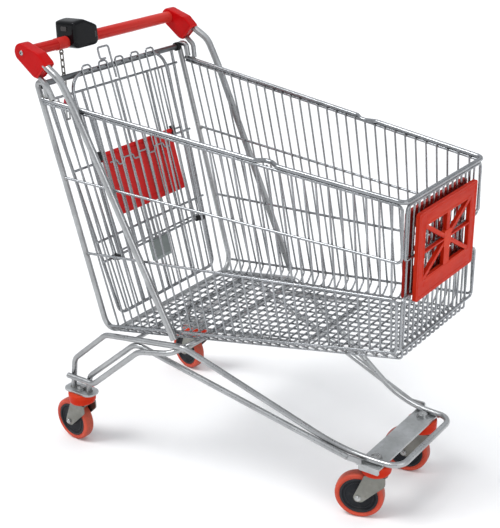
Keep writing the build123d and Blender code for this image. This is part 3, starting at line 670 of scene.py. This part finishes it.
def build_lock_details(low, high):
    """Small inset on the front face and keyhole plate on the near face."""
    inset_at = basis(Vector((high.x - 0.55 * MM, high.y - 12 * MM, low.z + 27 * MM)), Y, Z, X)
    inset = prism(rounded(rectangle(-9 * MM, -7 * MM, 2 * MM, 7 * MM), 2 * MM), -1 * MM, 0.5 * MM, inset_at)
    soften(inset, 0.3 * MM)
    add_piece("coin_lock_inset", inset, "frame", BLACK_MATT)
    key_at = basis(Vector((low.x + 0.52 * (high.x - low.x), low.y + 0.5 * MM, high.z - 20 * MM)), X, Z, -Y)
    plate = prism(rounded(rectangle(-10 * MM, -5 * MM, 8 * MM, 5 * MM), 2.5 * MM), -1.5 * MM, 0.45 * MM,
                  key_at)
    soften(plate, 0.35 * MM)
    add_piece("keyhole_plate", plate, "frame", BLACK_MATT)


# ---- front panels ----
PANEL_LEAN = math.atan(12 / 322)
PANEL_TALL = 190 * MM
PANEL_SUNK = 0.7 * MM           # depth of the plain face behind the CAD face, which leaves room for relief


def build_panels():
    """Moulded panels with rounded edges, a raised bead round border and window, and a square hub."""
    tilt = Vector((math.sin(PANEL_LEAN), 0, math.cos(PANEL_LEAN)))
    normal = Vector((math.cos(PANEL_LEAN), 0, -math.sin(PANEL_LEAN)))
    # The back panel takes the darker copy of the panel plastic, which paints shade onto it.
    for node, material, facing in (("panel_front", PANEL, 1), ("panel_back", PANEL_BACK_SHADED, -1)):
        piece = refined(node, material, 1.2 * MM, 3, 35)
        for vert in piece.data.vertices:
            vert.co -= normal * PANEL_SUNK * facing
        low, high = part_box(node)
        thick = high.x - low.x - PANEL_TALL * math.sin(PANEL_LEAN)
        face = (low + high) / 2 + normal * (thick / 2 - PANEL_SUNK) * facing
        where = basis(face, Y, tilt, normal * facing)
        section = [(-1.5, -0.6), (-1.2, 0.15), (-0.5, 0.6), (0.5, 0.6), (1.2, 0.15), (1.5, -0.6)]
        border = rounded(rectangle(-122 * MM, -88 * MM, 122 * MM, 88 * MM), 6 * MM)
        window = rounded(rectangle(-104 * MM, -56 * MM, 104 * MM, 66 * MM), 7 * MM)
        hub = prism(rounded(rectangle(-16 * MM, -13 * MM, 16 * MM, 23 * MM), 5 * MM), -8.0 * MM, 0.55 * MM,
                    where)
        soften(hub, 0.9 * MM, 3)
        diamond = prism(scaled([(0, -7), (11, 5), (0, 17), (-11, 5)]), -2 * MM, 0.69 * MM, where)
        soften(diamond, 0.3 * MM, 2)
        relief = merge(bead(border, section, where), bead(window, section, where), hub, diamond)
        add_piece(f"{node}_relief", relief, "frame", material)
        build_panel_caps(node, material, where)


def build_panel_caps(node, material, where):
    """Moulded caps over the four panel screws."""
    cap = scaled([(0.0, -2.0), (5.4, -2.0), (5.4, 0.1), (4.9, 0.4), (3.2, 0.2), (0.0, 0.1)])
    caps = []
    for across in (-91.7, 91.7):
        for up in (-68.0, 82.0):
            caps.append(lathe(cap, 36, where @ Matrix.Translation((across * MM, up * MM, 0))))
    add_piece(f"{node}_caps", merge(*caps), "frame", material)


# ---- child seat flap and label holder ----
LEAN = math.radians(13.35)
LEAN_FORWARD = Vector((math.cos(LEAN), 0, math.sin(LEAN)))
LEAN_UP = Vector((-math.sin(LEAN), 0, math.cos(LEAN)))


def build_flap():
    """Seat plate: knuckled barrel on top, rolled border, ears, and ribs behind."""
    axis = Vector(joints["seat_flap_fold"]["pos_m"])
    where = basis(axis, -Y, LEAN_UP, LEAN_FORWARD)
    half, deep = 125 * MM, 151 * MM
    outline = rounded([(-half, 0), (-half, -deep + 16 * MM), (-half - 7.5 * MM, -deep + 15 * MM),
                       (-half - 7.5 * MM, -deep + 2 * MM), (-half + 4 * MM, -deep), (half - 4 * MM, -deep),
                       (half + 7.5 * MM, -deep + 2 * MM), (half + 7.5 * MM, -deep + 15 * MM),
                       (half, -deep + 16 * MM), (half, 0)],
                      [0, 2 * MM, 2 * MM, 3 * MM, 4 * MM, 4 * MM, 3 * MM, 2 * MM, 2 * MM, 0], 5)
    plate = prism(outline, -2 * MM, 1.6 * MM, where)
    soften(plate, 0.7 * MM, 3)
    pieces = [plate]
    barrel_at = basis(axis, LEAN_FORWARD, LEAN_UP, LEAN_FORWARD.cross(LEAN_UP))
    knuckles = 7
    pitch = 2 * half / knuckles
    for i in range(knuckles):
        start = -half + i * pitch + (0.0 if i == 0 else 0.9 * MM)
        end = -half + (i + 1) * pitch - (0.0 if i == knuckles - 1 else 0.9 * MM)
        ring = [(2.56 * MM, start), (4.9 * MM, start), (5.55 * MM, start + 0.6 * MM),
                (5.55 * MM, end - 0.6 * MM), (4.9 * MM, end), (2.56 * MM, end)]
        pieces.append(lathe(ring, 40, barrel_at))
    for i in range(5):
        y = (-100 + 50 * i) * MM
        rib = block((y - 1.1 * MM, -deep + 10 * MM, -4.5 * MM), (y + 1.1 * MM, -8 * MM, -1.5 * MM), where)
        soften(rib, 0.4 * MM, 2)
        pieces.append(rib)
    border = 3.0 * MM
    for low, high in (((-half, -deep + 3 * MM), (-half + border, -4 * MM)),
                      ((half - border, -deep + 3 * MM), (half, -4 * MM)),
                      ((-half, -deep), (half, -deep + border))):
        lip = block((low[0], low[1], -4.4 * MM), (high[0], high[1], -1.5 * MM), where)
        soften(lip, 0.5 * MM, 2)
        pieces.append(lip)
    add_piece("seat_flap_fine", merge(*pieces), "seat_flap", FLAP, ["seat_flap"])


def build_label_holder():
    """Pale holder on the gate with a plain dark card in it."""
    refined("label_holder", LABEL_RIM, 0.8 * MM, 3)
    low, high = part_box("label_holder")
    middle = (low + high) / 2
    where = basis(middle, -Y, LEAN_UP, LEAN_FORWARD)
    card = prism(rounded(rectangle(-31 * MM, -20 * MM, 31 * MM, 23 * MM), 2 * MM), 0.6 * MM, 1.5 * MM, where)
    soften(card, 0.25 * MM)
    add_piece("label_card", card, "gate", LABEL)


# ---- welds ----
def islands(node):
    """Number of the separate solid that each face of a node belongs to."""
    mesh = nodes[node].data
    parent = list(range(len(mesh.vertices)))

    def root(i):
        while parent[i] != i:
            parent[i] = parent[parent[i]]
            i = parent[i]
        return i

    for edge in mesh.edges:
        a, b = (root(v) for v in edge.vertices)
        if a != b:
            parent[a] = b
    weld = {}
    for vert in mesh.vertices:
        key = tuple(round(c * 1e6) for c in vert.co)
        if key in weld:
            a, b = root(vert.index), root(weld[key])
            if a != b:
                parent[a] = b
        else:
            weld[key] = vert.index
    return [root(polygon.vertices[0]) for polygon in mesh.polygons]


def swollen_tree(node, by):
    """Search tree of a node whose surface is moved outwards, with its points and polygons."""
    mesh = nodes[node].data
    points = [vert.co + vert.normal * by for vert in mesh.vertices]
    polygons = [tuple(polygon.vertices) for polygon in mesh.polygons]
    return BVHTree.FromPolygons(points, polygons), points, polygons


def longest_edge(points, polygon):
    pairs = [(points[polygon[i]], points[polygon[(i + 1) % len(polygon)]]) for i in range(len(polygon))]
    return max(pairs, key=lambda pair: (pair[0] - pair[1]).length_squared)


SWELL = 0.25 * MM               # neighbours nearer than twice this count as welded
EDGE_SLACK, EDGE_GAP = 4 * MM, 12 * MM
CLUSTER = 14 * MM               # contacts nearer than this share one weld


def crossings(first, second):
    """Places where solids of two nodes touch, one for each pair of solids and stretch of contact."""
    tree_a, points_a, polygons_a = swollen_tree(first, SWELL)
    tree_b, points_b, polygons_b = swollen_tree(second, SWELL)
    group_a, group_b = islands(first), islands(second)
    found = {}
    for i, j in tree_a.overlap(tree_b):
        a, b = longest_edge(points_a, polygons_a[i]), longest_edge(points_b, polygons_b[j])
        near = intersect_line_line(*a, *b)
        if near is None:
            continue
        inside = all(-EDGE_SLACK <= (point - edge[0]).dot((edge[1] - edge[0]).normalized())
                     <= (edge[1] - edge[0]).length + EDGE_SLACK for point, edge in zip(near, (a, b)))
        if inside and (near[0] - near[1]).length < EDGE_GAP:
            found.setdefault((group_a[i], group_b[j]), []).append((near[0] + near[1]) / 2)
    places = []
    for points in found.values():
        while points:
            cluster = [p for p in points if (p - points[0]).length < CLUSTER]
            points = [p for p in points if (p - points[0]).length >= CLUSTER]
            places.append(sum(cluster, Vector()) / len(cluster))
    return places


def add_welds(name, body, pairs, size, lumps=0.22):
    """Small lumpy beads of weld metal at every crossing of the paired nodes."""
    dice = random.Random(name)
    bm = bmesh.new()
    for first, second in pairs:
        for place in crossings(first, second):
            radius = size * dice.uniform(0.85, 1.15)
            ball = bmesh.ops.create_icosphere(bm, subdivisions=2, radius=radius)["verts"]
            shift = Vector((dice.random(), dice.random(), dice.random())) * 10
            for vert in ball:
                swell = 1 + lumps * noise.noise(vert.co / radius * 1.4 + shift)
                vert.co = place + vert.co * swell
    return add_piece(name, bm, body, WELD, sharp=60)


def weld_ring(place, axis, radius, thick, seed):
    """Uneven bead laid round a tube where it meets a plate."""
    dice = random.Random(seed)
    bm = bmesh.new()
    side = axis.orthogonal().normalized()
    other = axis.cross(side)
    steps, around = 40, 8
    rings = []
    for step in range(steps):
        angle = 2 * math.pi * step / steps
        out = side * math.cos(angle) + other * math.sin(angle)
        swell = thick * (1 + 0.25 * math.sin(step * 1.9 + seed) + dice.uniform(-0.12, 0.12))
        middle = place + out * radius
        rings.append([bm.verts.new(middle + out * swell * math.cos(t) + axis * swell * math.sin(t))
                      for t in (2 * math.pi * k / around for k in range(around))])
    join_rings(bm, rings)
    return bm


def build_welds():
    """Welds of the wire baskets and the chassis, and beads round the feet of the rear legs."""
    add_welds("basket_side_welds", "frame", [("side_wires", "side_loops"), ("side_wires", "basket_rim")],
              2.9 * MM)
    add_welds("basket_front_welds", "frame", [("front_wires", "front_loops"), ("front_wires", "basket_rim"),
                                              ("front_loops", "side_loops")], 2.9 * MM)
    add_welds("basket_floor_welds", "frame", [("floor_wires", "floor_supports"),
                                              ("side_wires", "floor_wires")], 2.6 * MM)
    add_welds("gate_welds", "gate", [("gate_bars", "gate_wires"), ("gate_bars", "gate_frame"),
                                     ("gate_wires", "gate_frame")], 3.1 * MM)
    add_welds("seat_welds", "seat_back", [("seat_wires", "seat_bars"), ("seat_frame", "seat_bars")], 2.7 * MM)
    add_welds("frame_welds", "frame", [("rear_frame", "side_loops"), ("rear_frame", "basket_rim"),
                                       ("front_posts", "basket_rim"), ("front_posts", "side_loops"),
                                       ("rear_posts", "basket_rim")], 5.2 * MM)
    add_welds("chassis_welds", "frame", [("chassis_tube", "cross_tube"), ("inner_tubes", "cross_tube"),
                                         ("chassis_tube", "rear_frame"), ("floor_supports", "inner_tubes"),
                                         ("floor_supports", "chassis_tube"), ("inner_tubes", "chassis_tube"),
                                         ("front_posts", "chassis_tube")], 5.6 * MM)
    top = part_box("rear_plates")[1].z
    beads = []
    for place in ("rear_left", "rear_right"):
        pivot = Vector(joints[f"swivel_{place}"]["pos_m"])
        for index, reach in enumerate((-26.5, 26.5)):
            foot = Vector((pivot.x + reach * MM, pivot.y, top + 0.6 * MM))
            beads.append(weld_ring(foot, Z, 7.6 * MM, 1.9 * MM, index + len(beads)))
    add_piece("leg_weld_beads", merge(*beads), "frame", WELD, sharp=70)


# ---- small pieces ----
def build_small_pieces():
    """Plates, plastic fittings and the key, with their CAD shapes and rounded edges."""
    for node, material, slot, width in (
            ("rear_plates", PLATE, "zinc_plate", 0.8), ("front_plate", PLATE, "zinc_plate", 0.7),
            ("key_holder", CRIMSON, "crimson_plastic", 0.6), ("key_blade", BOLT, "fastener", 0.35),
            ("flap_clips", BLACK_MATT, "black_plastic", 1.2),
            ("seat_pivots", BLACK_MATT, "black_plastic", 0.9),
            ("hinge_bushings", BLACK_MATT, "black_plastic", 0.5)):
        refined(node, material, width * MM)


def build_floor():
    """Wide plain ground."""
    bpy.ops.mesh.primitive_grid_add(x_subdivisions=20, y_subdivisions=20, size=60)
    floor = bpy.context.object
    floor.name = "floor"
    floor.data.materials.append(pale_floor())


make_camera()
make_world()
make_lights()
build_floor()
for node, finish in FINISH.items():
    paint(node, finish)
for place in PLACES:
    build_wheel(place)
    build_fork(place)
    build_swivel_cover(place)
    build_axle(place)
build_brackets()
build_coin_lock()
build_panels()
build_flap()
build_label_holder()
build_small_pieces()
build_welds()
